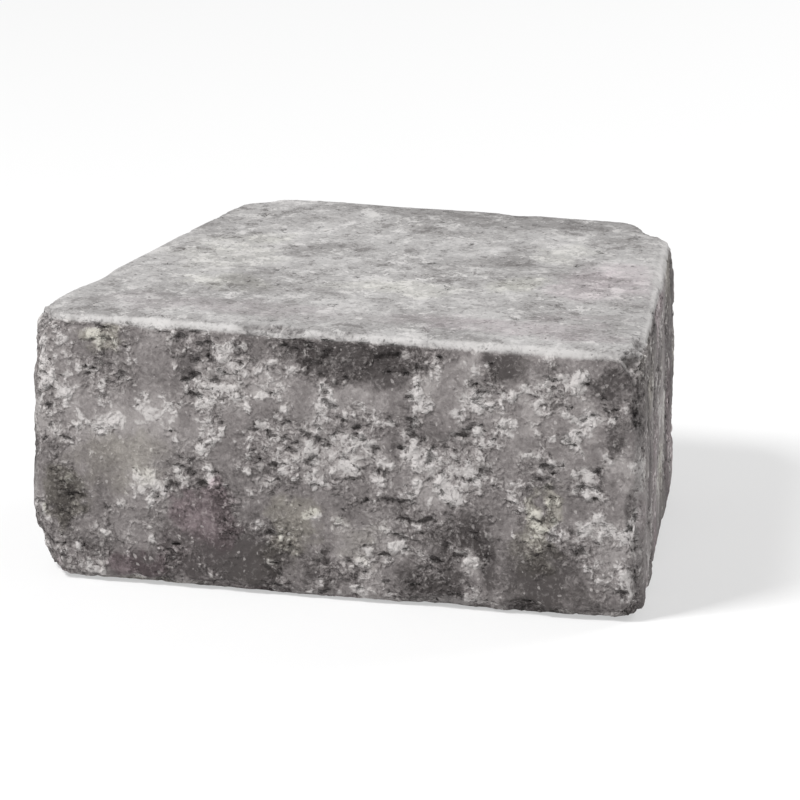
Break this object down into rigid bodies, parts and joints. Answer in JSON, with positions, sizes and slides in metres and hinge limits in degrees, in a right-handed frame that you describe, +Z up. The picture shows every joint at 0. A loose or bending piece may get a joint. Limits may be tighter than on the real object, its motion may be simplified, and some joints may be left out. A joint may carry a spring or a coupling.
{
  "type": "concrete wall block",
  "caption": "Solid wedge-shaped concrete block with tumbled, chipped edges, stacked dry in courses to make straight or curved garden walls.",
  "frame": {"origin": "on the bed face, under the middle of the block", "axes": "+X along the wide front face, to the right seen from the front; +Y from the front face to the narrow back face; +Z up through the course"},
  "size_m": [0.285, 0.226, 0.125],
  "materials": {
    "concrete": "tumbled dry-cast concrete, matt, grey and anthracite shaded, open-grained on the sides and smoother on the top"
  },
  "bodies": {
    "root": {"wall_block": "concrete"}
  },
  "joints": []
}
